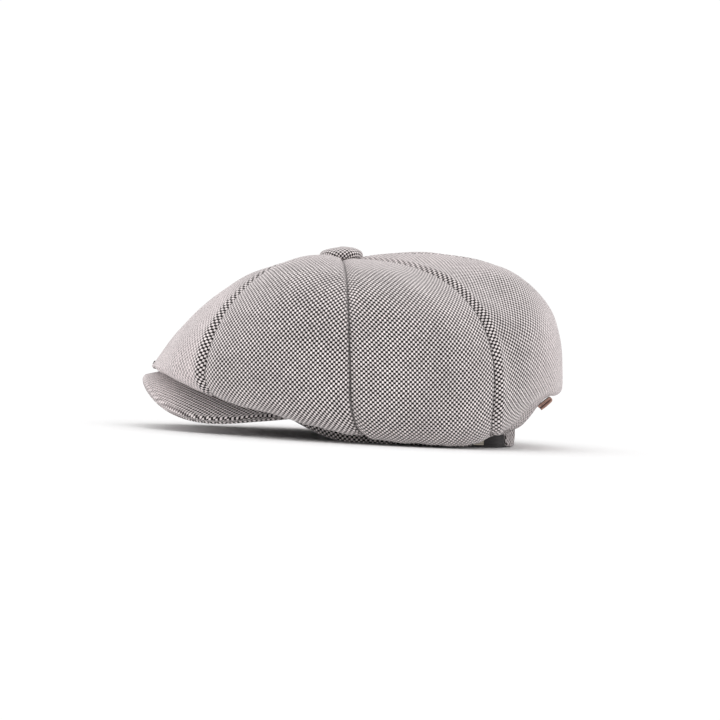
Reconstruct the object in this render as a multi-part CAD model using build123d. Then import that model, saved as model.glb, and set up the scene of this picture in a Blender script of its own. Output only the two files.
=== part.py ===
from build123d import *
from math import atan2, cos, exp, floor, hypot, pi, radians, sin
import os

# Newsboy cap. Millimetres. Front (brim) toward -Y, wearer's left +X, up +Z.
# Origin: middle of the oval head opening, on the plane the hem stands on.

# Head opening
HEAD_LENGTH = 192.0
HEAD_WIDTH = 160.0

# Band stack, from the head outward
SWEATBAND_T = 0.9
SWEATBAND_H = 28.0
STIFFENER_T = 1.2
BAND_CLOTH_T = 1.4
BAND_H = 12.0
LAYER_GAP = 0.2

# Front arch of the hem, where the brim is sewn on
ARCH_START = -14.0
ARCH_H = 38.0
ARCH_EASE = 0.45

# Crown
SEAM_ANGLES = (0, 43, 85, 131.5, 180, 228.5, 275, 317)
SEAM_LEAN = (0, 0, 5.5, 0, 0, 0, -5.5, 0)
TOP_Y = -26.5
TOP_Z = 121.5
RIM_MID = -10.8
RIM_HALF_LENGTH = 140.9
RIM_HALF_WIDTH = 122.0
CLOTH_T = 1.6
SEAM_GAP = 0.3
PANEL_PUFF = 3.5
PEAK_HOLE_R = 3.0
CROWN_CLEAR = 0.3

# Crown shape at front, front quarter, side, rear quarter and rear
RIM_Z = (41.0, 40.0, 35.0, 39.5, 42.0)
CREST_Z = (122.6, 127.1, 127.0, 129.7, 146.6)
CREST_REACH = (0.65, 0.75, 0.80, 0.66, 0.878)
RIM_FULLNESS = (-0.06, 0.38, 0.82, 0.70, 0.675)
UNDER_REACH = (0.25, 0.30, 0.40, 0.40, 0.20)
UNDER_Z = (41.0, 24.0, 5.5, 10.5, 35.5)
TUCK_DROP = (2.0, 3.0, 4.0, 3.0, -4.0)
REAR_LIFT = 10.0
REAR_LIFT_AT = 22.0
REAR_LIFT_SPREAD = 14.0
SEAM_DRIFT = (2.0, 5.0, 12.0)

# Seam tape and lining
TAPE_W = 10.0
TAPE_T = 0.35
TAPE_START = 0.09
TAPE_SHARE = 0.62
LINING_GAP = 3.7
LINING_T = 0.4
LINING_HOLE_R = 3.0
RIM_SLACK = 2.0
LINING_SAG = 4.0

# Brim
BRIM_SIDE_IN = 4.5
BRIM_CENTRE_Y = -80.0
BRIM_REACH = 78.0
BRIM_SQUARENESS = 2.5
BRIM_CUT_Y = -46.0
BRIM_RISE = 3.6
BRIM_DROOP_SIDE = 0.0059
BRIM_DROOP_CHANGE = 0.000022
BRIM_DROOP_FRONT = 0.00145
BRIM_SLOPE = 0.0558
BRIM_CLOTH_T = 1.3
BOARD_T = 2.6

# Covered button
BUTTON_R = 15.0
BUTTON_H = 6.6
BUTTON_LIFT = 2.2
BUTTON_TILT = 5.5
SHELL_T = 0.5
BACKPLATE_T = 0.8
SHANK_R = 1.5
WASHER_R = 10.0
WASHER_T = 0.6
WASHER_GAP = 0.9

# Rear elastic
ELASTIC_HALF_ANGLE = 32.0
ELASTIC_T = 0.8

# Leather tab under the rear of the crown
TAB_L = 11.0
TAB_W = 14.0
TAB_T = 1.4
TAB_FOLD_GAP = 1.0
TAB_ROOT_Z = 28.0
TAB_CLEAR = 1.2

# Care label inside the sweatband
LABEL_W = 34.0
LABEL_H = 16.0
LABEL_T = 0.3

BAND_OUT = SWEATBAND_T + STIFFENER_T + BAND_CLOTH_T + 2 * LAYER_GAP
LINING_INSET = CLOTH_T + LINING_GAP
BRIM_PEAK_Z = ARCH_H + BRIM_RISE
BRIM_HALF_WIDTH = HEAD_WIDTH / 2 - BRIM_SIDE_IN
ROWS = 44
COLUMNS = 11


def around(values, angle):
    """A value that changes smoothly round the cap, the same left and right."""
    weights = (0.5, 1, 1, 1, 0.5)
    total = 0.0
    for k in range(5):
        wave = sum(weights[j] * values[j] * cos(k * j * pi / 4) for j in range(5)) / 2
        if k in (0, 4):
            wave = wave / 2
        total += wave * cos(k * radians(angle))
    return total


def drift(angle):
    """How far a seam leans round the band, in degrees."""
    total = 0.0
    for k in (1, 2, 3):
        wave = sum(SEAM_DRIFT[j - 1] * sin(k * j * pi / 4) for j in (1, 2, 3)) / 2
        total += wave * sin(k * radians(angle))
    return total


def hem_z(y):
    """Height of the hem: flat at the sides and rear, arched over the brim."""
    share = (ARCH_START - y) / (ARCH_START + HEAD_LENGTH / 2)
    if share <= 0:
        return 0.0
    return ARCH_H * (share * share) / (ARCH_EASE + (1 - ARCH_EASE) * share)


def band_point(angle, offset):
    """A point on the oval, the offset measured out from the head."""
    b = radians(angle)
    return Vector((HEAD_WIDTH / 2 + offset) * sin(b), -(HEAD_LENGTH / 2 + offset) * cos(b), 0)


def bezier(p0, p1, p2, p3, n):
    """Points on a cubic curve."""
    points = []
    for i in range(n + 1):
        s = i / n
        r = 1 - s
        points.append(p0 * r**3 + p1 * (3 * r * r * s) + p2 * (3 * r * s * s) + p3 * s**3)
    return points


def meridian(angle, inset, hole_r, rows):
    """The crown from top to band at one angle, as evenly spaced points."""
    a = radians(angle)
    top = Vector(0, TOP_Y, 0)
    slack = inset * RIM_SLACK
    rim = Vector((RIM_HALF_WIDTH - slack) * sin(a), RIM_MID - (RIM_HALF_LENGTH - slack) * cos(a), 0)
    band = band_point(angle + drift(angle), BAND_OUT + CROWN_CLEAR)
    band_z = hem_z(band.Y) + BAND_H + inset
    top_z = TOP_Z - inset
    from_rear = abs(180 - angle % 360)
    lift = REAR_LIFT * exp(-(((from_rear - REAR_LIFT_AT) / REAR_LIFT_SPREAD) ** 2))
    under_z = around(UNDER_Z, angle) + lift + inset
    rim_z = around(RIM_Z, angle) + inset
    full_z = rim_z + around(RIM_FULLNESS, angle) * (top_z - rim_z)
    low = rim + (band - rim) * around(UNDER_REACH, angle)
    crest = top + (rim - top) * around(CREST_REACH, angle)
    up = Vector(0, 0, 1)
    peak = top + up * top_z
    side = rim + up * rim_z
    under = low + up * under_z
    foot = band + up * band_z
    points = bezier(peak, crest + up * (around(CREST_Z, angle) - inset), rim + up * full_z, side, 40)
    roll = rim + (low - rim) * 0.45
    tuck = band + (low - band) * 0.35
    tuck_z = band_z - around(TUCK_DROP, angle)
    if inset:
        points += bezier(side, side - up * LINING_SAG, foot + (side - foot) * 0.5, foot, 40)[1:]
    else:
        points += bezier(side, rim + up * (rim_z + (under_z - rim_z) * 0.55), roll + up * under_z, under, 20)[1:]
        points += bezier(under, low + (band - low) * 0.4 + up * under_z, tuck + up * tuck_z, foot, 20)[1:]
    while hypot(points[1].X, points[1].Y - TOP_Y) < hole_r:
        points.pop(0)
    near = hypot(points[0].X, points[0].Y - TOP_Y)
    far = hypot(points[1].X, points[1].Y - TOP_Y)
    points[0] = points[0] + (points[1] - points[0]) * ((hole_r - near) / (far - near))
    lengths = [0.0]
    for p, q in zip(points, points[1:]):
        lengths.append(lengths[-1] + (q - p).length)
    spaced = []
    k = 0
    for i in range(rows + 1):
        want = lengths[-1] * i / rows
        while k < len(lengths) - 2 and lengths[k + 1] < want:
            k += 1
        share = (want - lengths[k]) / (lengths[k + 1] - lengths[k])
        spaced.append(points[k] + (points[k + 1] - points[k]) * share)
    return spaced


LINES = {}


def line_at(degree, inset, hole_r):
    """The meridian at a whole degree, kept once worked out."""
    key = (degree % 360, inset, hole_r)
    if key not in LINES:
        LINES[key] = meridian(degree % 360, inset, hole_r, ROWS)
    return LINES[key]


def crown_at(angle, row, inset, hole_r):
    """A point of the crown at any angle, with its outward normal and its sideways direction."""
    degree = floor(angle)
    left = line_at(degree, inset, hole_r)
    right = line_at(degree + 1, inset, hole_r)
    share = angle - degree
    point = left[row] + (right[row] - left[row]) * share
    above = max(row - 1, 0)
    below = min(row + 1, ROWS)
    along = (left[below] - left[above]) * (1 - share) + (right[below] - right[above]) * share
    across = line_at(degree + 2, inset, hole_r)[row] - line_at(degree - 1, inset, hole_r)[row]
    return point, along.cross(across).normalized(), across.normalized()


def seam_angle(k, row):
    """Where a seam is at one row: some lean round the cap on their way down."""
    turns = 360 * (k // 8)
    return SEAM_ANGLES[k % 8] + turns + SEAM_LEAN[k % 8] * (row / ROWS) ** 1.6


def skin(outer, inner):
    """A closed solid between two point grids."""
    top = Face.make_surface_from_array_of_points(outer, tol=0.02)
    under = Face.make_surface_from_array_of_points(inner, tol=0.02)
    ends = [(outer[0], inner[0]), (outer[-1], inner[-1])]
    ends.append(([row[0] for row in outer], [row[0] for row in inner]))
    ends.append(([row[-1] for row in outer], [row[-1] for row in inner]))
    sides = []
    for upper, lower in ends:
        middle = upper[len(upper) // 2]
        first = min(top.edges(), key=lambda e: (e @ 0.5 - middle).length)
        middle = lower[len(lower) // 2]
        second = min(under.edges(), key=lambda e: (e @ 0.5 - middle).length)
        sides.append(Face.make_surface_from_curves(first, second))
    body = Solid(Shell([top, under] + sides))
    return body if body.volume > 0 else -body


def gore(k, inset, hole_r, puff, thickness):
    """One cloth panel between two seams, puffed in the middle."""
    outer = []
    inner = []
    for i in range(COLUMNS):
        u = i / (COLUMNS - 1)
        shift = SEAM_GAP / 2 * ((i == 0) - (i == COLUMNS - 1))
        upper = []
        lower = []
        for row in range(ROWS + 1):
            start = seam_angle(k, row)
            angle = start + (seam_angle(k + 1, row) - start) * u
            point, normal, sideways = crown_at(angle, row, inset, hole_r)
            rise = puff * 4 * u * (1 - u) * sin(pi * row / ROWS)
            point = point + normal * rise + sideways * shift
            upper.append(point)
            lower.append(point - normal * thickness)
        outer.append(upper)
        inner.append(lower)
    return skin(outer, inner)


def seam_tape(k):
    """A tape under one crown seam, clear of the cloth."""
    outer = []
    inner = []
    depth = CLOTH_T + LAYER_GAP * 2
    for i in range(-2, 3):
        shift = TAPE_W / 4 * i
        upper = []
        lower = []
        for row in range(int(ROWS * TAPE_START), int(ROWS * TAPE_SHARE)):
            point, normal, sideways = crown_at(seam_angle(k, row), row, 0, PEAK_HOLE_R)
            middle = point + sideways * shift - normal * (depth + shift * shift / 150)
            upper.append(middle)
            lower.append(middle - normal * TAPE_T)
        outer.append(upper)
        inner.append(lower)
    return skin(outer, inner)


def oval(offset, height):
    """A solid oval block standing on the hem plane."""
    outline = Ellipse(HEAD_WIDTH / 2 + offset, HEAD_LENGTH / 2 + offset)
    return extrude(outline, height)


def hem_curve(rise):
    """Hem line in the side plane, from rear to front, at a height above the hem."""
    front = -HEAD_LENGTH / 2 - 2 * BAND_OUT
    flat = [(HEAD_LENGTH, rise), (ARCH_START, rise)]
    arch = []
    for i in range(9):
        y = ARCH_START + (front - ARCH_START) * i / 8
        arch.append((y, hem_z(y) + rise))
    return flat, arch


def hem_zone(low, high):
    """Everything between two heights above the hem, as wide as the cap."""
    flat_low, arch_low = hem_curve(low)
    flat_high, arch_high = hem_curve(high)
    edges = [
        Edge.make_line((0, *flat_low[0]), (0, *flat_low[1])),
        Edge.make_spline([(0, y, z) for y, z in arch_low]),
        Edge.make_line((0, *arch_low[-1]), (0, *arch_high[-1])),
        Edge.make_spline([(0, y, z) for y, z in arch_high]),
        Edge.make_line((0, *flat_high[1]), (0, *flat_high[0])),
        Edge.make_line((0, *flat_high[0]), (0, *flat_low[0])),
    ]
    return extrude(Face(Wire(edges)), HEAD_WIDTH, dir=(1, 0, 0), both=True)


def band_layer(inside, thickness, low, high):
    """A ring of band cloth of one thickness between two heights."""
    ring = oval(inside + thickness, 120) - oval(inside, 120)
    return (ring & hem_zone(low, high)).solids()[0]


def rear_sector(half_angle):
    """A block that holds the rear of the band."""
    reach = HEAD_LENGTH
    left = (reach * sin(radians(half_angle)), reach * cos(radians(half_angle)))
    right = (-left[0], left[1])
    return extrude(make_face(Polyline((0, 0), left, right, close=True)), 60)


def brim_z(x, y):
    """Height of the middle of the brim."""
    front = BRIM_DROOP_FRONT * (y + HEAD_LENGTH / 2) ** 2
    slope = BRIM_SLOPE * (y + HEAD_LENGTH / 2)
    side = BRIM_DROOP_SIDE - BRIM_DROOP_CHANGE * (y + HEAD_LENGTH / 2)
    return BRIM_PEAK_Z - front + slope - side * x * x


def brim_slab(low, high):
    """A curved slab of the brim between two heights about its middle."""
    rows = []
    for i in range(9):
        x = BRIM_HALF_WIDTH * 1.1 * (i / 4 - 1)
        ys = [-175 + 145 * j / 8 for j in range(9)]
        rows.append([Vector(x, y, brim_z(x, y) + low) for y in ys])
    sheet = Face.make_surface_from_array_of_points(rows, tol=0.01)
    return extrude(sheet, high - low, dir=(0, 0, 1))


def brim_plan(inset):
    """Outline of the brim less the band, as a tall block."""
    points = []
    steps = 36
    for i in range(steps + 1):
        t = pi * (i / steps - 0.5) * 1.3
        power = 2 / BRIM_SQUARENESS
        x = (BRIM_HALF_WIDTH - inset) * abs(sin(t)) ** power * (1 if t > 0 else -1)
        y = BRIM_CENTRE_Y - (BRIM_REACH - inset) * abs(cos(t)) ** power * (1 if cos(t) > 0 else -1)
        points.append((x, min(y, BRIM_CUT_Y)))
    kept = [p for k, p in enumerate(points) if p[1] < BRIM_CUT_Y]
    curve = Edge.make_spline([(x, y, 0) for x, y in kept])
    start = curve @ 0
    end = curve @ 1
    corner_a = Vector(start.X, BRIM_CUT_Y - inset, 0)
    corner_b = Vector(end.X, BRIM_CUT_Y - inset, 0)
    sides = [Edge.make_line(end, corner_b), Edge.make_line(corner_b, corner_a), Edge.make_line(corner_a, start)]
    block = extrude(Face(Wire([curve] + sides)), 60)
    return block - oval(BAND_OUT + LAYER_GAP + inset, 60)


def dome(radius, height):
    """A round cap of a ball, flat side down, centred on the axis."""
    ball_r = (radius * radius + height * height) / (2 * height)
    ball = Pos(0, 0, height - ball_r) * Sphere(ball_r)
    return ball & Pos(0, 0, height / 2) * Box(4 * radius, 4 * radius, height)


def disc(radius, low, high):
    """A flat disc on the axis between two heights."""
    return Pos(0, 0, (low + high) / 2) * Cylinder(radius, high - low)


parts = {}

# Crown panels, tapes and lining
names = ("left_front", "left_side_front", "left_side_rear", "left_rear")
names += ("right_rear", "right_side_rear", "right_side_front", "right_front")
for k, name in enumerate(names):
    parts["crown_panel_" + name] = gore(k, 0, PEAK_HOLE_R, PANEL_PUFF, CLOTH_T)
    parts["lining_gore_" + name] = gore(k, LINING_INSET, LINING_HOLE_R, 0, LINING_T)
    parts["seam_tape_" + str(k + 1)] = seam_tape(k)

# Band
stiff_in = SWEATBAND_T + LAYER_GAP
cloth_in = stiff_in + STIFFENER_T + LAYER_GAP
parts["sweatband"] = band_layer(0, SWEATBAND_T, 0, SWEATBAND_H)
fold = band_layer(stiff_in, cloth_in - stiff_in + BAND_CLOTH_T / 2, 0, BAND_CLOTH_T)
parts["headband_cover"] = band_layer(cloth_in, BAND_CLOTH_T, 0, BAND_H - LAYER_GAP) + fold
lift = BAND_CLOTH_T + LAYER_GAP
stiffener_top = BAND_H - 4 * LAYER_GAP
stiffener = band_layer(stiff_in, STIFFENER_T, lift, stiffener_top)
parts["band_stiffener"] = stiffener - rear_sector(ELASTIC_HALF_ANGLE + 1)
elastic = band_layer(stiff_in, ELASTIC_T, lift, stiffener_top)
parts["rear_elastic"] = elastic & rear_sector(ELASTIC_HALF_ANGLE)

# Brim
half = BOARD_T / 2
edge_in = BRIM_CLOTH_T + LAYER_GAP
rim_ring = brim_plan(0) - brim_plan(BRIM_CLOTH_T)
gap = LAYER_GAP
parts["brim_board"] = brim_slab(-half, half) & brim_plan(edge_in)
upper = brim_slab(half + gap, half + gap + BRIM_CLOTH_T) & brim_plan(0)
lower = brim_slab(-half - gap - BRIM_CLOTH_T, -half - gap) & brim_plan(0)
parts["brim_top_cover"] = upper + (brim_slab(gap / 2, half + gap + BRIM_CLOTH_T / 2) & rim_ring)
parts["brim_under_cover"] = lower + (brim_slab(-half - gap - BRIM_CLOTH_T / 2, -gap / 2) & rim_ring)

# Button
button_at = Pos(0, TOP_Y, TOP_Z) * Rot(BUTTON_TILT, 0, 0)
base = BUTTON_LIFT
shell_r = BUTTON_R - BAND_CLOTH_T
shell_h = BUTTON_H - BAND_CLOTH_T
inner_r = shell_r - SHELL_T - LAYER_GAP
cover = Pos(0, 0, base) * dome(BUTTON_R, BUTTON_H)
hollow = Pos(0, 0, base + 0.5) * dome(shell_r + LAYER_GAP, shell_h + LAYER_GAP - 0.5)
cover = cover - hollow - disc(inner_r - 1.5, base - 1, base + 1)
shell_out = Pos(0, 0, base + 0.6) * dome(shell_r, shell_h - 0.6)
shell_in = Pos(0, 0, base + 0.6) * dome(shell_r - SHELL_T, shell_h - 0.6 - SHELL_T)
backplate = disc(inner_r - 1.8, base + 0.2, base + 0.2 + BACKPLATE_T)
washer_z = -CLOTH_T - WASHER_GAP
shank = disc(SHANK_R, washer_z - WASHER_T - 0.6, base + 0.1)
head = disc(SHANK_R * 2, washer_z - WASHER_T - 0.6, washer_z - WASHER_T - 0.1)
washer = disc(WASHER_R, washer_z - WASHER_T, washer_z) - disc(SHANK_R + 0.1, -10, 10)
parts["button_cover"] = button_at * cover
parts["button_shell"] = button_at * (shell_out - shell_in)
parts["button_backplate"] = button_at * backplate
parts["button_shank"] = button_at * (shank + head)
parts["button_washer"] = button_at * washer

# Leather tab, folded in two, under the rear seam
rear = meridian(180, 0, PEAK_HOLE_R, 200)
under_rear = [p for p in rear if p.Z < UNDER_Z[4]]
root = min(under_rear, key=lambda p: abs(p.Z - TAB_ROOT_Z))
tip = min(rear[150:], key=lambda p: abs((p - root).length - TAB_L) + (p.Z < root.Z) * TAB_L)
lean = atan2(tip.Z - root.Z, tip.Y - root.Y)
away = Vector(0, sin(lean), -cos(lean))
tab_at = root + away * TAB_CLEAR
tab_plane = Plane(origin=tab_at, x_dir=(1, 0, 0), z_dir=-away)
leaf = Pos(0, TAB_L / 2, -TAB_T / 2) * Box(TAB_W, TAB_L, TAB_T)
second = Pos(0, TAB_L / 2, -TAB_T * 1.5 - TAB_FOLD_GAP) * Box(TAB_W, TAB_L, TAB_T)
turn = Pos(0, TAB_L - TAB_T / 2, -TAB_T - TAB_FOLD_GAP / 2) * Box(TAB_W, TAB_T, TAB_T * 2 + TAB_FOLD_GAP)
folded = leaf + second + turn
corners = folded.edges().filter_by(Axis.X).sort_by(Axis.Y)[-2:]
parts["rear_tab"] = tab_plane.location * fillet(corners, TAB_T * 0.8)

# Care label on the inside of the sweatband
label_ring = oval(-LAYER_GAP / 2, 40) - oval(-LAYER_GAP / 2 - LABEL_T, 40)
label_box = Pos(0, HEAD_LENGTH / 2, 6 + LABEL_H / 2) * Box(LABEL_W, 30, LABEL_H)
parts["care_label"] = label_ring & label_box

os.makedirs("parts", exist_ok=True)
for name, shape in parts.items():
    solids = shape.solids()
    whole = solids[0] if len(solids) == 1 else Compound(children=list(solids))
    whole.label = name
    export_step(whole, "parts/" + name + ".step")
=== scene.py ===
import math

import bpy
import numpy as np
from mathutils import Matrix, Vector, noise


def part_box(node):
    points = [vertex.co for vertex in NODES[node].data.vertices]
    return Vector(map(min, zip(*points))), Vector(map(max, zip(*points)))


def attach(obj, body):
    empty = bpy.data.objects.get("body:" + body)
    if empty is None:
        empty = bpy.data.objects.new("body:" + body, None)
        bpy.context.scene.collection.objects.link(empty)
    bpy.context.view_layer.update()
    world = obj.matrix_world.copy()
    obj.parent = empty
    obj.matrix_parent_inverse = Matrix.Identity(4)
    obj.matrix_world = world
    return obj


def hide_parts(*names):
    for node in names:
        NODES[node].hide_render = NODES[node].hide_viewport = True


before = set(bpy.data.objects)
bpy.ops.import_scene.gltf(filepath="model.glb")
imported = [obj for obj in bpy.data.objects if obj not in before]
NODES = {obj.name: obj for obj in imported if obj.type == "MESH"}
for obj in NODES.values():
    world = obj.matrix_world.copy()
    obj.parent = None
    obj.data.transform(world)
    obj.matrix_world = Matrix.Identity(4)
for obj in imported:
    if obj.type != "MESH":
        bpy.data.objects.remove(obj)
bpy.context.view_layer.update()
BODY = "cap"
MM = 0.001

# ---------------------------------------------------------------- sizes, from the CAD boxes
sweat_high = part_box("sweatband")[1]
cover_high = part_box("headband_cover")[1]
button_low, button_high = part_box("button_cover")
shank_low, shank_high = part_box("button_shank")
panel_boxes = [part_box(n) for n in NODES if n.startswith("crown_panel_")]
crown_high = np.array([b[1] for b in panel_boxes]).max(0)

BAND_T = cover_high.x - sweat_high.x + 0.9 * MM
HEAD_X = sweat_high.x - 0.9 * MM
HEAD_Y = sweat_high.y - 0.9 * MM
TOP_Y = (shank_low.y + shank_high.y) / 2
TOP_Z = shank_high.z - 2.43 * MM
RIM_X = crown_high[0] * 0.9899
PUFF = 2.8 * MM
RIM_MID = -10.8 * MM
RIM_Y = 140.9 * MM
BAND_H = 12.0 * MM
ARCH_START = -14.0 * MM
ARCH_H = 38.0 * MM
ARCH_EASE = 0.45

SEAMS = (0, 43, 85, 131.5, 180, 228.5, 275, 317)
SEAM_LEAN = (0, 0, 5.5, 0, 0, 0, -5.5, 0)
# crown shape at front, front quarter, side, rear quarter and rear; heights as shares of the top's
RIM_Z = [k * TOP_Z for k in (0.3374, 0.3292, 0.2881, 0.3251, 0.3457)]
CREST_Z = [k * TOP_Z for k in (1.0091, 1.0461, 1.0453, 1.0675, 1.1950)]
UNDER_Z = [k * TOP_Z for k in (0.3374, 0.1975, 0.0453, 0.0864, 0.2922)]
TUCK_DROP = [k * MM for k in (2.0, 3.0, 4.0, 3.0, -4.0)]
CREST_REACH = (0.65, 0.75, 0.80, 0.66, 0.878)
RIM_FULLNESS = (-0.06, 0.38, 0.82, 0.70, 0.675)
# the underside rises a little each side of the rear: how much, and where in degrees
REAR_LIFT, REAR_LIFT_AT, REAR_LIFT_SPREAD = 10.0 * MM, 22.0, 14.0
UNDER_REACH = (0.25, 0.30, 0.40, 0.40, 0.20)
SEAM_DRIFT = (2.0, 5.0, 12.0)
# the leather tab leans back by this many degrees, and is drawn up to meet the crown
TAB_LEAN = 42.3
TAB_RAISE = 0.9 * MM


# ---------------------------------------------------------------- small helpers
def smooth(low, high, x):
    t = np.clip((np.asarray(x, float) - low) / (high - low), 0, 1)
    return t * t * (3 - 2 * t)


def bump(x, centre, width):
    return np.exp(-(((np.asarray(x, float) - centre) / width) ** 2))


def around(values, degrees_):
    a = np.radians(degrees_)
    weights = (0.5, 1, 1, 1, 0.5)
    total = 0.0
    for k in range(5):
        wave = sum(weights[j] * values[j] * math.cos(k * j * math.pi / 4) for j in range(5)) / 2
        total = total + (wave / 2 if k in (0, 4) else wave) * np.cos(k * a)
    return total


def drift(degrees_):
    a = np.radians(degrees_)
    total = 0.0
    for k in (1, 2, 3):
        wave = sum(SEAM_DRIFT[j - 1] * math.sin(k * j * math.pi / 4) for j in (1, 2, 3)) / 2
        total = total + wave * np.sin(k * a)
    return total


def hem_z(y):
    share = np.clip((ARCH_START - np.asarray(y, float)) / (ARCH_START + HEAD_Y), 0, None)
    return ARCH_H * share * share / (ARCH_EASE + (1 - ARCH_EASE) * share)


def band_xy(degrees_, offset):
    b = np.radians(degrees_)
    return np.stack([(HEAD_X + offset) * np.sin(b), -(HEAD_Y + offset) * np.cos(b)], -1)


def wander(points, scale, seed=0.0):
    """Smooth noise about 0 at each point, with features of the given size."""
    flat = np.asarray(points, float).reshape(-1, 3) / scale + seed
    out = [noise.noise(Vector(p)) for p in flat]
    return np.array(out).reshape(np.shape(points)[:-1])


def bezier(p, n):
    s = np.linspace(0, 1, n)[:, None]
    r = 1 - s
    return r**3 * p[0] + 3 * r * r * s * p[1] + 3 * r * s * s * p[2] + s**3 * p[3]


def spaced(points, count, start_r):
    """Evenly spaced points along a line, from a radius about the crown's top."""
    away = np.hypot(points[:, 0], points[:, 1] - TOP_Y)
    first = int(np.argmax(away > start_r))
    k = (start_r - away[first - 1]) / (away[first] - away[first - 1])
    head = points[first - 1] + (points[first] - points[first - 1]) * k
    points = np.vstack([head, points[first:]])
    length = np.concatenate([[0], np.cumsum(np.linalg.norm(np.diff(points, axis=0), axis=1))])
    want = np.linspace(0, length[-1], count)
    return np.stack([np.interp(want, length, points[:, i]) for i in range(3)], 1)


def meridian(angle, rows, start_r=3 * MM):
    """The line of the crown from its top to the band, at one angle."""
    a = math.radians(angle)
    top = np.array([0, TOP_Y])
    rim = np.array([RIM_X * math.sin(a), RIM_MID - RIM_Y * math.cos(a)])
    band = band_xy(angle + drift(angle), BAND_T + 0.3 * MM)
    band_z = float(hem_z(band[1])) + BAND_H
    from_rear = (abs(180 - angle % 360) - REAR_LIFT_AT) / REAR_LIFT_SPREAD
    rim_z = around(RIM_Z, angle)
    under_z = around(UNDER_Z, angle) + REAR_LIFT * math.exp(-(from_rear**2))
    full_z = rim_z + around(RIM_FULLNESS, angle) * (TOP_Z - rim_z)
    low = rim + (band - rim) * around(UNDER_REACH, angle)
    crest = top + (rim - top) * around(CREST_REACH, angle)
    roll = rim + (low - rim) * 0.45
    tuck = band + (low - band) * 0.35

    def at(xy, z):
        return np.array([xy[0], xy[1], float(z)])

    upper = bezier([at(top, TOP_Z), at(crest, around(CREST_Z, angle)), at(rim, full_z), at(rim, rim_z)], 41)
    half_down = at(rim, rim_z + (under_z - rim_z) * 0.55)
    turn = bezier([at(rim, rim_z), half_down, at(roll, under_z), at(low, under_z)], 21)
    tuck_z = band_z - around(TUCK_DROP, angle)
    inward = at(low + (band - low) * 0.4, under_z)
    foot = bezier([at(low, under_z), inward, at(tuck, tuck_z), at(band, band_z)], 21)
    return spaced(np.vstack([upper, turn[1:], foot[1:]]), rows, start_r)


def grid_mesh(name, points, uv, material, close_u=False, flip=False):
    """A mesh from a grid of points, with its cloth coordinates in metres."""
    nu, nv = points.shape[:2]
    verts = points.reshape(-1, 3)
    faces = []
    for i in range(nu if close_u else nu - 1):
        k = (i + 1) % nu
        for j in range(nv - 1):
            f = (i * nv + j, i * nv + j + 1, k * nv + j + 1, k * nv + j)
            faces.append(f[::-1] if flip else f)
    mesh = bpy.data.meshes.new(name)
    mesh.from_pydata(verts.tolist(), [], faces)
    layer = mesh.uv_layers.new(name="Cloth")
    flat = uv.reshape(-1, 2)
    seam = nu * nv
    loops = np.zeros(len(mesh.loops), int)
    mesh.loops.foreach_get("vertex_index", loops)
    values = flat[loops]
    if close_u:
        per_face = values.reshape(-1, 4, 2)
        wide = np.ptp(flat[:, 0]) * nu / (nu - 1)
        last = np.arange(len(per_face)) >= (nu - 1) * (nv - 1)
        low = per_face[:, :, 0] < np.median(flat[:, 0])
        per_face[:, :, 0] = np.where(last[:, None] & low, per_face[:, :, 0] + wide, per_face[:, :, 0])
        values = per_face.reshape(-1, 2)
    layer.data.foreach_set("uv", np.ascontiguousarray(values, dtype=np.float32).ravel())
    mesh.shade_smooth()
    obj = bpy.data.objects.new(name, mesh)
    bpy.context.scene.collection.objects.link(obj)
    mesh.materials.append(material)
    return obj


def set_value(obj, name, values):
    """One number for each vertex, for the material to read."""
    layer = obj.data.attributes.new(name, "FLOAT", "POINT")
    layer.data.foreach_set("value", np.ascontiguousarray(values, dtype=np.float32).ravel())


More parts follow.
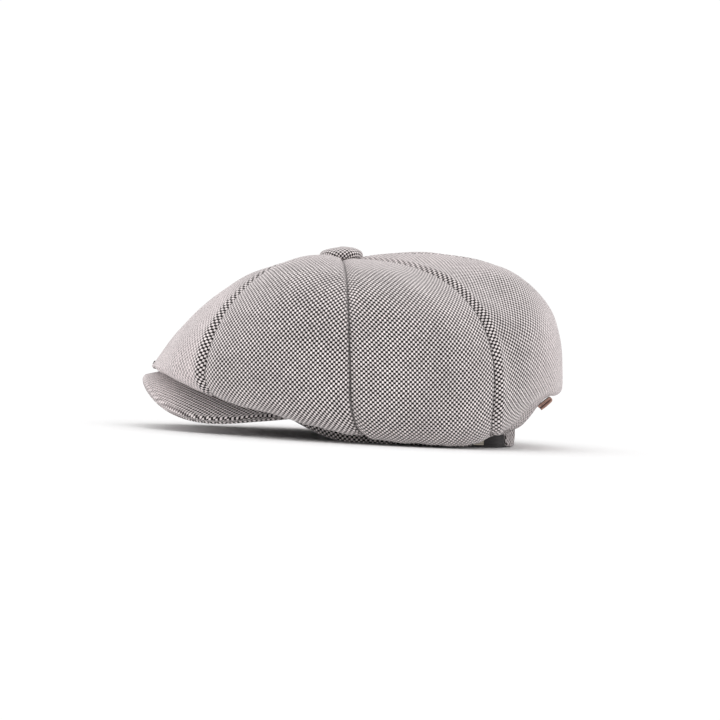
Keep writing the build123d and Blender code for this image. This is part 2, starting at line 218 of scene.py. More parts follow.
# ---------------------------------------------------------------- materials
class Shader:
    """Short names for the nodes of one material."""

    def __init__(self, name):
        self.material = bpy.data.materials.new(name)
        self.material.use_nodes = True
        self.tree = self.material.node_tree
        self.tree.nodes.clear()
        self.out = self.node("OutputMaterial")
        self.surface = self.node("BsdfPrincipled")
        self.link(self.surface.outputs[0], self.out.inputs["Surface"])

    def node(self, kind):
        return self.tree.nodes.new("ShaderNode" + kind)

    def link(self, value, socket):
        if isinstance(value, bpy.types.NodeSocket):
            self.tree.links.new(value, socket)
        else:
            socket.default_value = value

    def math(self, op, *values, clamp=False):
        n = self.node("Math")
        n.operation = op
        n.use_clamp = clamp
        for value, socket in zip(values, n.inputs):
            self.link(value, socket)
        return n.outputs[0]

    def vector(self, op, *values):
        n = self.node("VectorMath")
        n.operation = op
        for value, socket in zip(values, n.inputs):
            self.link(value, socket)
        return n.outputs[0]

    def scaled(self, vector, x, y, z=1.0):
        return self.vector("MULTIPLY", vector, (x, y, z))

    def noise(self, vector, scale, detail=2.0, rough=0.5):
        n = self.node("TexNoise")
        self.link(vector, n.inputs["Vector"])
        n.inputs["Scale"].default_value = scale
        n.inputs["Detail"].default_value = detail
        n.inputs["Roughness"].default_value = rough
        return n.outputs["Fac"]

    def range(self, value, low, high, to_low=0.0, to_high=1.0, soft=False):
        n = self.node("MapRange")
        n.interpolation_type = "SMOOTHSTEP" if soft else "LINEAR"
        self.link(value, n.inputs["Value"])
        for name, v in (("From Min", low), ("From Max", high), ("To Min", to_low), ("To Max", to_high)):
            self.link(v, n.inputs[name])
        return n.outputs["Result"]

    def mix(self, factor, a, b, mode="MIX"):
        n = self.node("Mix")
        n.data_type = "RGBA"
        n.blend_type = mode
        self.link(factor, n.inputs[0])
        self.link((*a, 1) if isinstance(a, tuple) else a, n.inputs[6])
        self.link((*b, 1) if isinstance(b, tuple) else b, n.inputs[7])
        return n.outputs[2]

    def set(self, **values):
        for name, value in values.items():
            self.link(value, self.surface.inputs[name.replace("_", " ")])

    def bump(self, height, distance, strength=1.0):
        n = self.node("Bump")
        n.inputs["Strength"].default_value = strength
        n.inputs["Distance"].default_value = distance
        self.link(height, n.inputs["Height"])
        self.link(n.outputs[0], self.surface.inputs["Normal"])

    def cloth(self):
        n = self.node("UVMap")
        n.uv_map = "Cloth"
        return n.outputs[0]

    def place(self):
        return self.node("TexCoord").outputs["Object"]


YARN = 1.55 * MM
WHITE = (0.98, 0.90, 0.895)
BLACK = (0.0060, 0.0036, 0.0038)


def tweed(name, shade=1.0, nap=1.0, yarn=YARN):
    """Plain weave of off-white warp and black weft, with slubs, loose fibres and a sheen lobe; painted shade
    in the yarn gaps and seams, and painted pale sheen where the mesh marks it.
    """
    s = Shader(name)
    uv, place = s.cloth(), s.place()
    bend = s.math("MULTIPLY", s.math("SUBTRACT", s.noise(uv, 45, 2), 0.5), 1.1 * MM)
    jitter = s.math("MULTIPLY", s.math("SUBTRACT", s.noise(uv, 420, 2), 0.5), 0.35 * MM)
    parts = s.node("SeparateXYZ")
    s.link(uv, parts.inputs[0])
    u = s.math("DIVIDE", s.math("ADD", s.math("ADD", parts.outputs[0], bend), jitter), yarn)
    v = s.math("DIVIDE", s.math("SUBTRACT", s.math("SUBTRACT", parts.outputs[1], bend), jitter), yarn)
    iu, iv = s.math("FLOOR", u), s.math("FLOOR", v)
    fu = s.math("SUBTRACT", s.math("SUBTRACT", u, iu), 0.5)
    fv = s.math("SUBTRACT", s.math("SUBTRACT", v, iv), 0.5)
    odd = s.math("MULTIPLY", s.math("FRACT", s.math("MULTIPLY", s.math("ADD", iu, iv), 0.5)), 2.0)
    sign = s.math("SUBTRACT", 1.0, s.math("MULTIPLY", odd, 2.0))

    def cosine(f):
        return s.math("COSINE", s.math("MULTIPLY", f, math.pi))

    def profile(f):
        squared = s.math("MULTIPLY", f, f)
        return s.math("SQRT", s.math("SUBTRACT", 1.0, s.math("MULTIPLY", squared, 3.85), clamp=True))

    warp_h = s.math("ADD", s.math("MULTIPLY", s.math("MULTIPLY", sign, cosine(fv)), 0.55), profile(fu))
    weft_h = s.math("ADD", s.math("MULTIPLY", s.math("MULTIPLY", sign, cosine(fu)), -0.55), profile(fv))
    fibre = s.noise(s.scaled(uv, 1, 1), 2600, 2, 0.7)
    fray = s.math("MULTIPLY", s.math("SUBTRACT", fibre, 0.5), 0.5)
    lead = s.math("ADD", s.math("SUBTRACT", warp_h, weft_h), fray)
    white_on_top = s.range(lead, 0.1, 0.4, soft=True)
    height = s.math("MAXIMUM", warp_h, weft_h)

    # each yarn has its own tone, and its slubs come and go along it
    pair = s.node("CombineXYZ")
    s.link(iu, pair.inputs[0])
    s.link(s.math("MULTIPLY", v, 0.16), pair.inputs[1])
    warp_tone = s.range(s.noise(pair.outputs[0], 1.0, 1), 0.25, 0.75, 0.84, 1.08)
    pair = s.node("CombineXYZ")
    s.link(s.math("MULTIPLY", u, 0.16), pair.inputs[0])
    s.link(iv, pair.inputs[1])
    weft_tone = s.range(s.noise(pair.outputs[0], 1.0, 1), 0.62, 0.85, 1.0, 5.0)
    cell = s.node("CombineXYZ")
    s.link(iu, cell.inputs[0])
    s.link(iv, cell.inputs[1])
    spot = s.node("TexWhiteNoise")
    s.link(cell.outputs[0], spot.inputs["Vector"])
    spot_tone = s.range(spot.outputs["Value"], 0.0, 1.0, 0.88, 1.04)
    white = s.mix(1.0, WHITE, s.math("MULTIPLY", s.math("MULTIPLY", warp_tone, spot_tone), shade), "MULTIPLY")
    black = s.mix(1.0, BLACK, weft_tone, "MULTIPLY")
    colour = s.mix(white_on_top, black, white)

    # the gaps between yarns are darkened as painted shade, and pale hairs lie over everything
    gap_shade = s.range(height, 0.35, 0.95, 0.4, 1.0, soft=True)
    colour = s.mix(1.0, colour, gap_shade, "MULTIPLY")
    hairs = s.range(s.noise(s.scaled(uv, 1, 1), 1500, 3, 0.75), 0.64, 0.84, 0.0, 0.10 * nap, soft=True)
    colour = s.mix(hairs, colour, (0.72, 0.64, 0.64))
    # painted sheen: a pale colour mixed in where the mesh value marks it, broken up into tufts and clumps
    painted_sheen = s.node("Attribute")
    painted_sheen.attribute_name = "PaintedSheen"
    sheen_tufts = s.range(s.noise(uv, 900, 4, 0.7), 0.38, 0.6, 0.1, 0.95, soft=True)
    sheen_clumps = s.range(s.noise(uv, 170, 2), 0.3, 0.7, 0.65, 1.0)
    cover = s.math("MULTIPLY", s.math("MULTIPLY", painted_sheen.outputs["Fac"], sheen_tufts), sheen_clumps)
    colour = s.mix(cover, colour, (0.80, 0.70, 0.705))
    patch = s.range(s.noise(place, 38, 3), 0.3, 0.7, 0.88, 1.06)
    # a dark line painted along each seam as painted shade in its groove, times broad patches of random tone
    fold = s.node("Attribute")
    fold.attribute_name = "SeamShade"
    patchy_tone_and_seam_shade = s.math("MULTIPLY", patch, s.range(fold.outputs["Fac"], 0.0, 1.0, 1.0, 0.08))
    colour = s.mix(1.0, colour, patchy_tone_and_seam_shade, "MULTIPLY")
    s.set(Base_Color=colour, Roughness=s.range(fibre, 0.2, 0.8, 0.82, 0.98))
    s.surface.inputs["Specular IOR Level"].default_value = 0.0
    s.surface.inputs["Sheen Weight"].default_value = nap
    s.surface.inputs["Sheen Roughness"].default_value = 0.5
    s.surface.inputs["Sheen Tint"].default_value = (1.0, 0.93, 0.93, 1)
    lumps = s.math("ADD", s.math("MULTIPLY", height, 0.75), s.math("MULTIPLY", fibre, 0.5))
    s.bump(lumps, 0.45 * MM, 0.85)
    return s.material


def plain_cloth(name, colour, rib=0.0, rib_axis=2, sheen=0.3, rough=0.8, shine=0.3):
    """Ribbed or plain fine cloth, with thread-size noise and slight wear."""
    s = Shader(name)
    place = s.place()
    fine = s.noise(place, 2200, 2, 0.6)
    broad = s.noise(place, 30, 3)
    height = fine
    if rib:
        parts = s.node("SeparateXYZ")
        s.link(place, parts.inputs[0])
        wave = s.math("SINE", s.math("MULTIPLY", parts.outputs[rib_axis], 2 * math.pi / rib))
        height = s.math("ADD", s.math("MULTIPLY", wave, 0.5), s.math("MULTIPLY", fine, 0.5))
    # darker where the ribs and threads sit low: painted shade, times a broad random tone
    tone = s.math("MULTIPLY", s.range(broad, 0.3, 0.7, 0.8, 1.25), s.range(height, -0.5, 1.0, 0.6, 1.3))
    matt = s.range(fine, 0.2, 0.8, rough - 0.08, rough + 0.08)
    s.set(Base_Color=s.mix(1.0, colour, tone, "MULTIPLY"), Roughness=matt)
    s.surface.inputs["Specular IOR Level"].default_value = shine
    s.surface.inputs["Sheen Weight"].default_value = sheen
    s.surface.inputs["Sheen Roughness"].default_value = 0.4
    s.bump(height, 0.2 * MM, 0.7)
    return s.material


def leather(name):
    """Brown leather, darker in its grain and paler along its worn edges."""
    s = Shader(name)
    place = s.place()
    grain = s.node("TexVoronoi")
    s.link(place, grain.inputs["Vector"])
    grain.inputs["Scale"].default_value = 1300
    pores = s.range(grain.outputs["Distance"], 0.0, 0.6, 0.55, 1.0)
    broad = s.range(s.noise(place, 220, 4), 0.3, 0.7, 0.75, 1.3)
    colour = s.mix(1.0, (0.30, 0.155, 0.115), s.math("MULTIPLY", pores, broad), "MULTIPLY")
    wear_and_sheen = s.node("Attribute")
    wear_and_sheen.attribute_name = "Worn"
    edge = s.math("MULTIPLY", wear_and_sheen.outputs["Fac"], s.range(s.noise(place, 700, 2), 0.3, 0.7, 0.4, 0.9))
    colour = s.mix(edge, colour, (0.66, 0.43, 0.36))
    s.set(Base_Color=colour, Roughness=s.range(broad, 0.75, 1.3, 0.62, 0.42))
    s.bump(s.math("ADD", pores, s.noise(place, 900, 3)), 0.12 * MM, 0.8)
    return s.material


def solid(name, colour, rough, metal=0.0, grain=600):
    """Board, plastic or metal that shows little."""
    s = Shader(name)
    mark = s.noise(s.place(), grain, 4)
    s.set(Base_Color=s.mix(1.0, colour, s.range(mark, 0.3, 0.7, 0.85, 1.1), "MULTIPLY"))
    s.set(Roughness=s.range(mark, 0.3, 0.7, rough - 0.1, rough + 0.1))
    s.surface.inputs["Metallic"].default_value = metal
    s.bump(mark, 0.1 * MM, 0.4)
    return s.material


TWEED = tweed("tweed")
# darker copies of the same tweed: the band's is painted shade for its place under the crown's edge; the
# brim's is a little darker
TWEED_BRIM = tweed("tweed_brim", 0.96)
TWEED_BAND = tweed("tweed_band", 0.92, 0.8)
SWEAT = plain_cloth("black_sweatband", (0.022, 0.019, 0.02), 1.1 * MM, 2, 0.35, 0.75)
LINING = plain_cloth("satin_lining", (0.018, 0.016, 0.02), 0, 2, 0.2, 0.38, 0.6)
TAPE = plain_cloth("seam_tape_cotton", (0.03, 0.03, 0.03))
BUCKRAM = plain_cloth("buckram", (0.5, 0.46, 0.38), 1.4 * MM)
ELASTIC = plain_cloth("ribbed_elastic", (0.02, 0.02, 0.02), 1.6 * MM)
LABEL = plain_cloth("care_label_cloth", (0.5, 0.48, 0.45), 0.5 * MM, 2, 0.2, 0.5, 0.5)
LEATHER = leather("brown_leather")
BOARD = solid("brim_board", (0.6, 0.6, 0.57), 0.6)
METAL = solid("button_metal", (0.55, 0.55, 0.56), 0.35, 1.0)
WASHER = solid("washer_plastic", (0.02, 0.02, 0.02), 0.5)

for name, obj in NODES.items():
    finish = None
    if name.startswith("lining_gore"):
        finish = LINING
    elif name.startswith("seam_tape"):
        finish = TAPE
    else:
        finish = {
            "band_stiffener": BUCKRAM,
            "rear_elastic": ELASTIC,
            "care_label": LABEL,
            "brim_board": BOARD,
            "button_shell": METAL,
            "button_backplate": METAL,
            "button_shank": METAL,
            "button_washer": WASHER,
        }.get(name)
    if finish:
        obj.data.materials.clear()
        obj.data.materials.append(finish)


# ---------------------------------------------------------------- crown
ROWS, COLS = 150, 65
names = ("left_front", "left_side_front", "left_side_rear", "left_rear")
names += ("right_rear", "right_side_rear", "right_side_front", "right_front")
FIRST = -4
TABLE = np.array([meridian(d, ROWS) for d in range(FIRST, 366)])
TABLE_N = np.cross(np.gradient(TABLE, axis=1), np.gradient(TABLE, axis=0))
TABLE_N /= np.linalg.norm(TABLE_N, axis=2)[..., None]
# depth of the valley at each seam, in mm, and on which side its allowance is pressed: -1 before, 1 after
VALLEY = (2.2, 2.9, 2.2, 2.8, 2.2, 2.8, 2.2, 2.9)
PRESSED = (1, -1, 1, 1, 1, -1, -1, 1)


def crown_at(angles):
    """Points and outward normals of the crown for an array of angles, one column for each row."""
    k = np.floor(angles).astype(int)
    share = (angles - k)[..., None]
    rows = np.arange(ROWS)
    point = TABLE[k - FIRST, rows] * (1 - share) + TABLE[k - FIRST + 1, rows] * share
    normal = TABLE_N[k - FIRST, rows] * (1 - share) + TABLE_N[k - FIRST + 1, rows] * share
    return point, normal / np.linalg.norm(normal, axis=-1)[..., None]


def seam_line(k, v):
    return SEAMS[k % 8] + 360 * (k // 8) + SEAM_LEAN[k % 8] * v**1.6


def ramp(d, width):
    """1 at the seam, falling evenly to 0 one width away, with a soft shoulder."""
    x = 1 - d / width
    return (x + np.sqrt(x * x + 0.02)) / 2


def crown_gore(k):
    us = np.linspace(0, 1, COLS)
    # closer columns near the seams, where the cloth turns down
    us = us - 0.135 * np.sin(2 * np.pi * us)
    v = np.linspace(0, 1, ROWS)[None, :]
    u = us[:, None]
    start, end = seam_line(k, v), seam_line(k + 1, v)
    angles = start + (end - start) * u
    base, normal = crown_at(angles)
    across = np.linalg.norm(np.diff(base, axis=0), axis=2)
    side = np.vstack([np.zeros(ROWS), np.cumsum(across, axis=0)])
    width = side[-1][None, :]
    steps = np.linalg.norm(np.diff(base, axis=1), axis=2)
    along = np.concatenate([np.zeros((COLS, 1)), np.cumsum(steps, axis=1)], 1)
    edges = ((side, k, 1), (width - side, (k + 1) % 8, -1))
    fade = smooth(1.0, 0.93, v)
    lift = PUFF * 4 * u * (1 - u) * np.sin(np.pi * v) * smooth(0.9, 0.6, v)
    lift = lift + 0.6 * MM * smooth(0.0, 0.1, v) * fade
    seam_shade = np.zeros(base.shape[:2])
    reach = np.minimum(6.0 * MM, 0.36 * width)
    for d, seam, here in edges:
        wide = reach * (1.0 if PRESSED[seam] == here else 0.35)
        lift = lift - VALLEY[seam] * MM * ramp(d, wide) * (0.25 + 0.75 * fade)
        if PRESSED[seam] == here:
            lift = lift + 0.7 * MM * bump(d, 6.0 * MM, 3.0 * MM) * fade * smooth(20 * MM, 50 * MM, width)
        # marks a narrow line along each seam where the material paints shade into the groove
        seam_shade = np.maximum(seam_shade, np.exp(-((d / (0.8 * MM)) ** 2)) * fade)
    wave = wander(base, 46 * MM, 3.1 + k) * 2.2 + wander(base, 19 * MM, 7.7) * 0.7
    lift = lift + wave * MM * smooth(0, 14 * MM, np.minimum(side, width - side)) * fade
    # fine puckers run in from the band
    ripple = np.sin(angles * 0.9 + 3 * wander(base, 30 * MM, 1.3))
    lift = lift + 0.5 * MM * ripple * smooth(0.80, 0.97, v) * smooth(1.0, 0.985, v)
    points = base + normal * lift[..., None]
    # a soft dent above the rear left panel
    hollow = np.array([0.062, 0.088, 0.112])
    away = np.linalg.norm((points - hollow) * np.array([1, 1, 1.2]), axis=2)
    points = points - normal * (3.0 * MM * np.exp(-((away / (24 * MM)) ** 2)))[..., None]
    mid = COLS // 2
    uv = np.stack([side - side[mid][None, :], along[mid][None, :] + 0 * side], -1)
    uv += np.array([0.13 * k, 0.0])
    # seam allowances turned in
    inward = []
    for edge, step in ((0, 1), (COLS - 1, -1)):
        lateral = points[edge + 4 * step] - points[edge]
        lateral /= np.linalg.norm(lateral, axis=1)[:, None]
        inward.append(points[edge] - normal[edge] * 2.4 * MM + lateral * 0.15 * MM)
    uv_in = [uv[0] - np.array([2.4 * MM, 0]), uv[-1] + np.array([2.4 * MM, 0])]
    points = np.concatenate([inward[0][None], points, inward[1][None]])
    uv = np.concatenate([uv_in[0][None], uv, uv_in[1][None]])
    # paler areas set by place on the cap, over the nose, the top and the rear: painted sheen, a choice of
    # look, not a known property of the cloth
    y, z = points[..., 1], points[..., 2]
    wear_and_sheen = np.maximum(0.8 * smooth(98 * MM, 124 * MM, y), 0.45 * smooth(114 * MM, 123 * MM, z))
    if k in (0, 7):
        away = smooth(5 * MM, 12 * MM, np.pad(width - side if k == 0 else side, ((1, 1), (0, 0)), "edge"))
        wear_and_sheen = np.maximum(wear_and_sheen, away * smooth(-82 * MM, -108 * MM, y))
    obj = grid_mesh("gore_" + names[k], points, uv, TWEED)
    set_value(obj, "SeamShade", np.pad(seam_shade, ((1, 1), (0, 0)), "edge"))
    set_value(obj, "PaintedSheen", wear_and_sheen)
    thick = obj.modifiers.new("cloth", "SOLIDIFY")
    thick.thickness = 1.2 * MM
    thick.offset = -1
    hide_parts("crown_panel_" + names[k])
    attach(obj, BODY)
    wide = float(width.max())
    return obj


# ---------------------------------------------------------------- band
def ring(profile, angles, lift=None):
    """A band that follows the oval and the hem: profile rows of (offset, height above the hem)."""
    profile = np.asarray(profile, float)
    points, uv = [], []
    around_len = 0.0
    last = None
    for a in angles:
        row = []
        for k, (offset, height) in enumerate(profile):
            xy = band_xy(a, offset)
            dz, do = lift(a, height, offset) if lift else (0, 0)
            xy = band_xy(a, offset + do)
            row.append((xy[0], xy[1], float(hem_z(xy[1])) + height + dz))
        row = np.array(row)
        if last is not None:
            around_len += float(np.linalg.norm(row[-1] - last[-1]))
        last = row
        down = np.concatenate([[0], np.cumsum(np.linalg.norm(np.diff(profile, axis=0), axis=1))])
        points.append(row)
        uv.append(np.stack([np.full(len(profile), around_len), down], -1))
    return np.array(points), np.array(uv)


ANGLES = np.linspace(-180, 180, 361)[:-1]


def rear_pleats(a):
    back = math.exp(-(((abs(a) - 180) / 26) ** 2))
    return back * math.sin(math.radians(a) * 44 + 1.2 * math.sin(a * 0.11))


def ride_up(a):
    """How far the tweed hem is pulled up off the black band, at the left rear."""
    return float(smooth(129, 153, a) * smooth(162, 158, a))


def cover_lift(a, height, offset):
    """The tweed hem rides up where the cap is pulled at the left rear, and puckers over the elastic."""
    a = (a + 180) % 360 - 180
    rise = 8.5 * MM * ride_up(a) * (1 - height / BAND_H * 0.85)
    slack = 0.35 * MM * math.sin(a * 0.13) + 0.25 * MM * math.sin(a * 0.31 + 1)
    out = 0.6 * MM * rear_pleats(a) * (0.3 + 0.7 * min(1, height / BAND_H + 0.3))
    outer = 1.0 if offset > 3 * MM else 0.0
    return rise + max(0.0, slack) * (1 - height / BAND_H), out * outer - 0.2 * MM * outer


o = BAND_T
cover_profile = [(1.4 * MM, 4.0 * MM), (1.3 * MM, 1.2 * MM), (1.8 * MM, 0.35 * MM), (2.5 * MM, 0.0)]
cover_profile += [(3.2 * MM, 0.3 * MM), (o - 0.15 * MM, 1.1 * MM), (o, 2.2 * MM), (o + 0.1 * MM, 4 * MM)]
cover_profile += [(o + 0.15 * MM, 6 * MM), (o + 0.1 * MM, 8 * MM), (o, 10 * MM), (o - 0.1 * MM, 11.4 * MM)]
cover_profile += [(o - 0.6 * MM, 12.0 * MM), (o - 1.6 * MM, 12.1 * MM)]
points, uv = ring(cover_profile, ANGLES, cover_lift)
headband = grid_mesh("headband_tweed", points, uv, TWEED_BAND, close_u=True, flip=True)
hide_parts("headband_cover")
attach(headband, BODY)

sweat_profile = [(0.0, 28 * MM), (0.05 * MM, 20 * MM), (0.0, 10 * MM)]
sweat_profile += [(-0.05 * MM, 2 * MM), (0.1 * MM, 0.4 * MM), (0.5 * MM, 0.0)]
sweat_profile += [(0.9 * MM, 0.4 * MM), (0.95 * MM, 3 * MM), (0.95 * MM, 27.5 * MM)]
sweat_profile += [(0.5 * MM, 28.2 * MM)]
sweat_profile += [(0.0, 28 * MM)]


def sweat_lift(a, height, offset):
    a = (a + 180) % 360 - 180
    low = ride_up(a) * max(0.0, 1 - height / (14 * MM))
    return 0.0, 2.6 * MM * low + 0.25 * MM * rear_pleats(a)


points, uv = ring(sweat_profile, ANGLES, sweat_lift)
sweatband = grid_mesh("sweatband_cotton", points, uv, SWEAT, close_u=True, flip=True)
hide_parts("sweatband")
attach(sweatband, BODY)

for k in range(8):
    crown_gore(k)

# ---------------------------------------------------------------- brim
brim_low, brim_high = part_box("brim_top_cover")
BRIM_X = brim_high.x
BRIM_FRONT = brim_low.y
BRIM_REACH = 78 * MM
BRIM_MID_Y = BRIM_FRONT + BRIM_REACH
BRIM_CUT = brim_high.y
BRIM_POWER = 2 / 2.5
BRIM_PEAK = ARCH_H + 3.6 * MM
HALF = 2.8 * MM


def brim_z(x, y):
    d = y + HEAD_Y
    return BRIM_PEAK - 1.45 * d * d + 0.0558 * d - (5.9 - 22 * d) * x * x


def brim_outline(n):
    t = np.linspace(-0.65 * np.pi, 0.65 * np.pi, 4001)
    x = BRIM_X * np.sign(np.sin(t)) * np.abs(np.sin(t)) ** BRIM_POWER
    y = BRIM_MID_Y - BRIM_REACH * np.sign(np.cos(t)) * np.abs(np.cos(t)) ** BRIM_POWER
    keep = y <= BRIM_CUT
    line = np.stack([x, y], -1)[keep]
    d = np.concatenate([[0], np.cumsum(np.linalg.norm(np.diff(line, axis=0), axis=1))])
    want = np.linspace(0, d[-1], n)
    return np.stack([np.interp(want, d, line[:, i]) for i in range(2)], 1)


def brim():
    n = 181
    outer = brim_outline(n)
    limit = math.degrees(math.atan2(outer[-1, 0] / HEAD_X, -outer[-1, 1] / HEAD_Y))
    b = np.linspace(-limit, limit, n)
    inner = band_xy(b, BAND_T + 0.2 * MM)
    # cross-section: share of the way out, height as a share of the half thickness
    rounded = [(math.cos(t), math.sin(t)) for t in np.linspace(math.pi / 2, -math.pi / 2, 9)]
    shares = np.linspace(0, 1, 40)
    outward = outer - inner
    length = np.linalg.norm(outward, axis=1)[:, None]
    direction = outward / length
    rows, flat = [], []
    body = length - HALF
    for s in shares:
        p = inner + direction * body * s
        rows.append((p, 1.0, p))
    for c, h in rounded[1:-1]:
        p = inner + direction * (body + HALF * c)
        rows.append((p, h, inner + direction * (body + HALF * (2 - h) * 0.8)))
    for s in shares[::-1]:
        p = inner + direction * body * s
        rows.append((p, -1.0, p))
    points, uv = [], []
    for k, (p, h, f) in enumerate(rows):
        z = brim_z(p[:, 0], p[:, 1])
        edge = smooth(0.0, 0.16, np.minimum(1.0, np.linalg.norm(p - outer, axis=1) / (60 * MM)))
        plump = (0.9 + 0.1 * edge) * HALF * h
        soft = wander(np.column_stack([p, z]), 24 * MM, 5.5) * 0.35 * MM
        points.append(np.column_stack([p, z + plump + soft * (1 if abs(h) == 1 else 0.4)]))
        slope = np.sqrt(1 + (12.4 * f[:, 0]) ** 2)
        arc = f[:, 0] * (slope + 1) / 2
        uv.append(np.stack([arc + (0.0 if h > 0 else 0.3), f[:, 1]], -1))
    points = np.transpose(np.array(points), (1, 0, 2))
    uv = np.transpose(np.array(uv), (1, 0, 2))
    obj = grid_mesh("brim_tweed", points, uv, TWEED_BRIM)
    # paler towards its tip: painted sheen, set by place in the same way
    set_value(obj, "PaintedSheen", 0.8 * smooth(-118 * MM, -146 * MM, points[..., 1]))
    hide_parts("brim_top_cover", "brim_under_cover")
    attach(obj, BODY)
    return obj


brim()


# ---------------------------------------------------------------- button
def button():
    """Cloth gathered over a shallow dome, with soft folds towards its rim."""
    radius = (button_high.x - button_low.x) / 2
    tilt = math.radians(5.5)
    up = np.array([0, -math.sin(tilt), math.cos(tilt)])
    fore = np.array([0, math.cos(tilt), math.sin(tilt)])
    base = np.array([0, TOP_Y, TOP_Z]) + up * 2.2 * MM
    tall = 6.6 * MM
    prof = []
    for t in np.linspace(0, math.pi / 2, 26):
        prof.append((math.sin(t), math.cos(t) ** 0.8 * 0.9 + 0.1))
    prof += [(1.0, -0.05), (0.985, -0.2), (0.93, -0.3), (0.7, -0.28)]
    points, uv = [], []
    for a in np.linspace(0, 2 * math.pi, 97):
        row, flat = [], []
        length = 0.0
        for k, (r, h) in enumerate(prof):
            outer = float(smooth(0.55, 1.0, r))
            fold = math.sin(a * 9 + 1.6 * math.sin(a * 2)) + 0.5 * math.sin(a * 5 + 2)
            wide = r * radius * (1 + 0.014 * fold * outer + 0.012 * math.sin(2 * a + 0.6))
            z = h * tall * (1 + 0.06 * math.sin(a + 0.8) * (1 - r)) - 0.35 * MM * fold * outer
            p = base + np.array([1.0, 0, 0]) * wide * math.cos(a) + fore * wide * math.sin(a) + up * z
            if k:
                length += float(np.linalg.norm(p - row[-1]))
            row.append(p)
            flat.append((length * math.cos(a), length * math.sin(a) + 0.5))
        points.append(row)
        uv.append(flat)
    obj = grid_mesh("button_tweed", np.array(points), np.array(uv), TWEED)
    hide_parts("button_cover")
    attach(obj, BODY)
    return obj


button()


# ---------------------------------------------------------------- leather tab
def tab():
    """A strip of leather folded in two, seen on its cut edges."""
    low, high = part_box("rear_tab")
    lean = math.radians(TAB_LEAN)
    thick, leaf = 3.8 * MM, 1.7 * MM
    long = 11.0 * MM
    half = (high.x - low.x) / 2
    root = np.array([0, low.y, low.z + thick * math.cos(lean) + TAB_RAISE])
    out = np.array([0, math.cos(lean), math.sin(lean)])
    away = np.array([0, math.sin(lean), -math.cos(lean)])
    turn = long - thick / 2
    path = [(s, leaf / 2) for s in np.linspace(0, turn, 14)]
    bend = thick / 2 - leaf / 2
    for t in np.linspace(-math.pi / 2, math.pi / 2, 13)[1:-1]:
        path.append((turn + bend * math.cos(t), thick / 2 + bend * math.sin(t)))
    for s in np.linspace(turn, 0.4 * MM, 14):
        path.append((s, thick - leaf / 2 + 0.2 * MM * math.sin(math.pi * s / turn)))
    path = np.array(path)
    tangent = np.gradient(path, axis=0)
    tangent /= np.linalg.norm(tangent, axis=1)[:, None]
    side = np.stack([tangent[:, 1], -tangent[:, 0]], 1)
    length = np.concatenate([[0], np.cumsum(np.linalg.norm(np.diff(path, axis=0), axis=1))])
    # once round the strip's own section: x across it, and t from its outer face (1) to its inner one (-1)
    flat = list(np.linspace(-1, 1, 15))
    edge = [0.85, 0.5, 0.0, -0.5, -0.85]
    loop = [(x * half, 1.0) for x in flat] + [(half, t) for t in edge]
    loop += [(x * half, -1.0) for x in flat[::-1]] + [(-half, t) for t in edge[::-1]] + [(-half, 1.0)]
    points, uv, pale = [], [], []
    for (s, h), n, d in zip(path, side, length):
        row, cloth, wear_and_sheen = [], [], []
        for k, (x, t) in enumerate(loop):
            corner = abs(x) > 0.999 * half
            x_in = x * (1 - (0.025 if abs(t) > 0.84 and corner else 0.0))
            q = np.array([s, h]) + n * t * leaf / 2 * (0.88 if abs(t) == 1 and corner else 1.0)
            row.append(root + np.array([x_in, 0, 0]) + out * q[0] + away * q[1])
            cloth.append((x + t * leaf / 2, d))
            if corner:
                wear_and_sheen.append(1.0 if t >= 0.4 else 0.25)
            else:
                wear_and_sheen.append(0.5 * math.exp(-(half - abs(x)) / (0.9 * MM)))
        points.append(row)
        uv.append(cloth)
        pale.append(wear_and_sheen)
    obj = grid_mesh("tab_leather", np.array(points), np.array(uv), LEATHER, flip=True)
    set_value(obj, "Worn", pale)
    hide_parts("rear_tab")
    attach(obj, "tab")


tab()


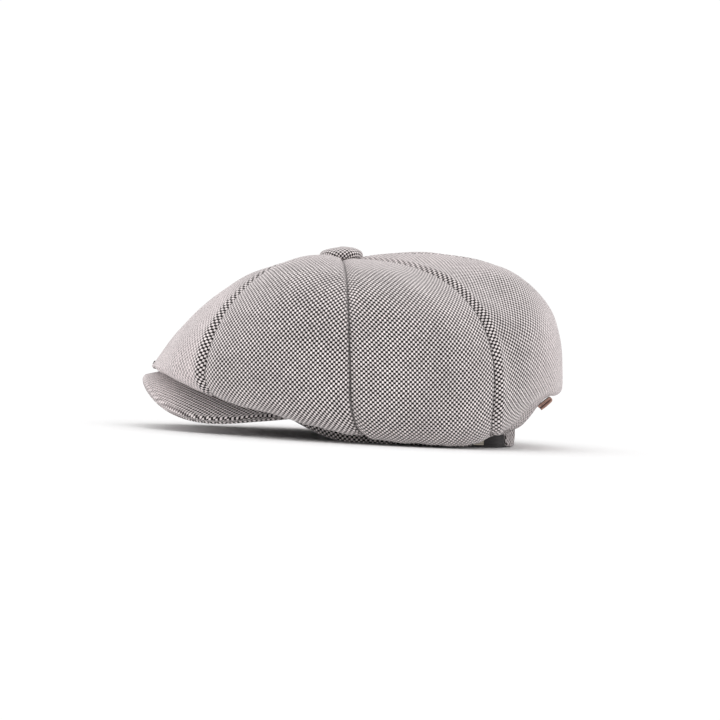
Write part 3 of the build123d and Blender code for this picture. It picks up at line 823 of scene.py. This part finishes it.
# ---------------------------------------------------------------- floor, light and camera
def stage():
    mesh = bpy.data.meshes.new("floor")
    r = 40.0
    mesh.from_pydata([(-r, -r, 0), (r, -r, 0), (r, r, 0), (-r, r, 0)], [], [(0, 1, 2, 3)])
    floor = bpy.data.objects.new("floor", mesh)
    bpy.context.scene.collection.objects.link(floor)
    s = Shader("pale_floor")
    s.set(Base_Color=(0.99, 0.99, 0.99, 1), Roughness=1.0)
    s.surface.inputs["Specular IOR Level"].default_value = 0.0
    mesh.materials.append(s.material)
    floor.location.z = -0.3 * MM
    world = bpy.data.worlds.new("studio")
    bpy.context.scene.world = world
    world.use_nodes = True
    back = world.node_tree.nodes["Background"]
    back.inputs[0].default_value = (1, 1, 1, 1)
    back.inputs[1].default_value = 1.03
    bpy.context.scene.view_settings.view_transform = "Standard"

    def area(name, at, look, size, power):
        data = bpy.data.lights.new(name, "AREA")
        data.size = size
        data.energy = power
        obj = bpy.data.objects.new(name, data)
        bpy.context.scene.collection.objects.link(obj)
        obj.location = at
        obj.rotation_euler = (Vector(look) - Vector(at)).to_track_quat("-Z", "Y").to_euler()

    area("key", (0.6, -0.3, 1.6), (0, 0, 0.05), 1.3, 2.2)
    area("fill", (2.2, 0.2, 0.7), (0, 0, 0.05), 1.5, 0.01)


def camera():
    """Level with the crown on the wearer's left, and turned a little, as the cap stands."""
    roll = math.radians(3.2)
    rise = math.radians(1.5)
    far = 3.6
    view_width = 496 * MM
    look_y, look_z = -6.2 * MM, 59.3 * MM
    # the hem's level leans with the roll about its rear
    pivot = 100 * MM
    y = pivot + (look_y - pivot) * math.cos(roll) - look_z * math.sin(roll)
    z = look_z * math.cos(roll) + (look_y - pivot) * math.sin(roll)
    right = Vector((0, math.cos(roll), math.sin(roll)))
    up0 = Vector((0, -math.sin(roll), math.cos(roll)))
    back = Vector((math.cos(rise), 0, 0)) + up0 * math.sin(rise)
    up = back.cross(right)
    data = bpy.data.cameras.new("camera")
    data.sensor_width = 36
    data.lens = 36 * far / view_width
    data.clip_end = 100
    cam = bpy.data.objects.new("camera", data)
    bpy.context.scene.collection.objects.link(cam)
    at = Vector((0, y, z)) + back * far
    cam.matrix_world = Matrix((
        (right.x, up.x, back.x, at.x),
        (right.y, up.y, back.y, at.y),
        (right.z, up.z, back.z, at.z),
        (0, 0, 0, 1),
    ))
    bpy.context.scene.camera = cam


stage()
camera()

bpy.context.view_layer.update()
